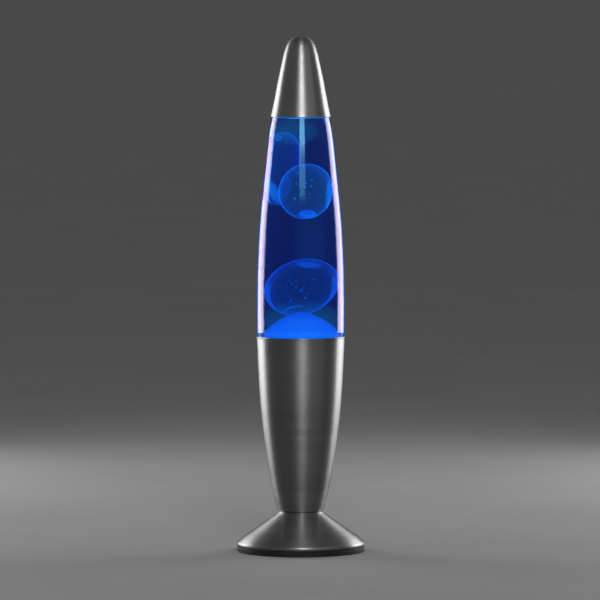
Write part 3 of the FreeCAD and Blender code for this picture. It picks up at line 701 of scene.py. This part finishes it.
def make_ring(name, major, minor, centre, tilt=0.0, segments=96, sides=24):
    """A round ring lying level, or with its front tipped down by tilt degrees."""
    turn = Matrix.Translation(Vector(centre) * MM) @ Matrix.Rotation(math.radians(tilt), 4, "X")
    mesh = bmesh.new()
    hoops = []
    for index in range(segments):
        angle = 2 * math.pi * index / segments
        hoop = []
        for side in range(sides):
            around = 2 * math.pi * side / sides
            reach = (major + minor * math.cos(around)) * MM
            height = minor * math.sin(around) * MM
            point = Vector((reach * math.cos(angle), reach * math.sin(angle), height))
            hoop.append(mesh.verts.new(turn @ point))
        hoops.append(hoop)
    for index in range(segments):
        first, second = hoops[index], hoops[(index + 1) % segments]
        for side in range(sides):
            following = (side + 1) % sides
            mesh.faces.new((first[side], second[side], second[following], first[following]))
    bmesh.ops.recalc_face_normals(mesh, faces=mesh.faces)
    return finished(name, mesh)


def make_thread(name, radius, *points):
    """A thin thread along a curve steered by a few points, finer towards its ends."""
    curve = bpy.data.curves.new(name, "CURVE")
    curve.dimensions = "3D"
    curve.bevel_depth = radius * MM
    curve.bevel_resolution = 4
    curve.use_fill_caps = True
    line = curve.splines.new("NURBS")
    line.points.add(len(points) - 1)
    for index, point in enumerate(points):
        line.points[index].co = (*(Vector(point) * MM), 1)
        line.points[index].radius = THREAD_TIP if index in (0, len(points) - 1) else 1.0
    line.use_endpoint_u = True
    line.resolution_u = 12
    template = bpy.data.objects.new(name, curve)
    data = bpy.data.meshes.new_from_object(template)
    bpy.data.objects.remove(template)
    data.shade_smooth()
    piece = bpy.data.objects.new(name, data)
    bpy.context.scene.collection.objects.link(piece)
    return piece


def add_specks(name, centre, reach, count, seed):
    """Tiny grains of wax scattered inside a blob, each with a painted glint of its own."""
    rng = np.random.default_rng(seed)
    grains = []
    for _ in range(count):
        direction = rng.normal(size=3)
        direction /= np.linalg.norm(direction)
        spot = np.array(centre) + direction * reach * rng.uniform(*GRAIN_SPREAD)
        grains.append((rng.uniform(*GRAIN_RADII_MM), spot))
    add_detail(make_balls(name, *grains), "bright_edge")


def add_blobs():
    """The floating blobs that stand for the CAD's, each with a shell of painted glow that brightens
    its outline.
    """
    lower = make_ball("wax_blob_lower_fine", 19.5, 16.0, 35, (0.4, 4.0, 174.6))
    front = make_ball("wax_blob_front_fine", 17.95, 14.9, 8, (2.9, -7.4, 237.6))
    rear = make_column("wax_blob_rear_fine")
    droplets = make_balls(
        "wax_droplets_fine", (1.5, (-12.8, -8.0, 272.3)), (0.9, (-1.6, -19.9, 250.2))
    )
    for blob, node, rim_glow_finish, thickness in (
        (lower, "wax_blob_lower", "wax_skin", 0.04),
        (front, "wax_blob_front", "wax_skin", 0.033),
        (rear, "wax_blob_rear", "deep_painted_rim_glow", 0.03),
        (droplets, "wax_droplets", "wax_skin", 0.03),
    ):
        add_rim_glow_shell(blob, rim_glow_finish, thickness)
        place(blob, node, "molten_wax")


def add_wax_details():
    """Grains with painted glints, a ring with a painted glow, the painted highlight along the edge
    of the liquid's surface, and threads of wax.
    """
    add_specks("wax_specks_lower", (0.4, 4.0, 175.0), 12.0, 20, 5)
    add_specks("wax_specks_front", (2.9, -7.4, 238.0), 11.0, 14, 8)
    # painted highlight: a glowing ring for the bright light near the front blob's lower end
    add_detail(make_ring("glow_ring_front_blob", 3.4, 0.7, (3.6, -9.0, 223.9), 34), "wax")
    # painted highlight: the lit edge where the liquid's surface meets the glass
    add_detail(make_ring("wax_meniscus", 16.75, 0.32, (0, 0, 286.1)), "dim_edge")
    for name, finish, radius, points in (
        # painted glint along the front of the liquid's surface
        (
            "wax_meniscus_glint", "bright_edge", 0.42,
            ((-9.6, -13.4, 286.0), (-4.8, -16.4, 285.8), (1.6, -17.0, 285.8), (6.6, -15.0, 286.0)),
        ),
        (
            "wax_thread_low", "wax", 0.5,
            ((-9.6, -4, 158.4), (-7.6, -6, 160.8), (-3.4, -7, 163.4), (1.2, -7, 162.6)),
        ),
        (
            "wax_thread_high", "wax", 0.3,
            ((-6.4, -6, 164.6), (-5.6, -6, 166.0), (-4.4, -6, 167.8)),
        ),
    ):
        add_detail(make_thread(name, radius, *points), finish)


def add_hazes():
    """Painted glow: soft patches that stand for scattered light in the wax and in the liquid."""
    for name, finish, slot, half_length, half_width, tilt, centre in (
        ("wax_haze_front_foot", "wax_haze", "wax", 2.6, 5.4, 10, (4.0, -8.0, 223.0)),
        ("wax_haze_lower_top", "wax_haze", "wax", 2.2, 6.5, 6, (3.6, 1.0, 188.6)),
        ("wax_haze_rear_side", "deep_wax_haze", "wax", 9.0, 2.8, -20, (-11.6, 9.8, 236.5)),
        ("wax_haze_front_side", "rim_haze", "wax", 10.0, 1.7, 4, (15.0, -8.6, 235.5)),
        ("liquid_haze_middle", "liquid_haze", "blue_liquid", 26.0, 8.0, 0, (4.0, 6.0, 202.0)),
        ("liquid_haze_foot", "liquid_haze", "blue_liquid", 17.0, 21.0, 0, (0.5, -1.0, 150.0)),
        ("liquid_haze_top", "liquid_haze", "blue_liquid", 8.5, 12.5, 0, (-3.5, 0.0, 276.0)),
    ):
        add_detail(make_ball(name, half_length, half_width, tilt, centre), finish)


# ---------------------------------------------------------------- put it together
FLOOR_RADIUS = 30.0


def dress_cad_nodes():
    """Dress every CAD node in the finish named like its material slot."""
    for node, slot in SLOT_OF.items():
        dress(NODES[node], slot)


def add_floor():
    """A pale matt floor that runs far past the lights' reach; the lamp doesn't mirror it."""
    mesh = bmesh.new()
    bmesh.ops.create_circle(mesh, cap_ends=True, radius=FLOOR_RADIUS, segments=96)
    floor = finished("floor", mesh)
    paint = plain_finish(
        "floor_paint", (0.50, 0.50, 0.50), (0.54, 0.54, 0.54), 6.0, (0.5, 0.6), depth=0.0
    )
    floor.data.materials.append(paint.material)
    floor.visible_glossy = False


add_camera()
add_floor()
add_world()
bpy.context.scene.view_settings.view_transform = "Standard"

dress_cad_nodes()
add_lights(place(make_bottle(), "glass_bottle", "bottle_glass"))
place(make_liquid(), "liquid", "blue_liquid")
place(make_mound(), "wax_mound", "wax")
add_blobs()
add_wax_details()
add_hazes()
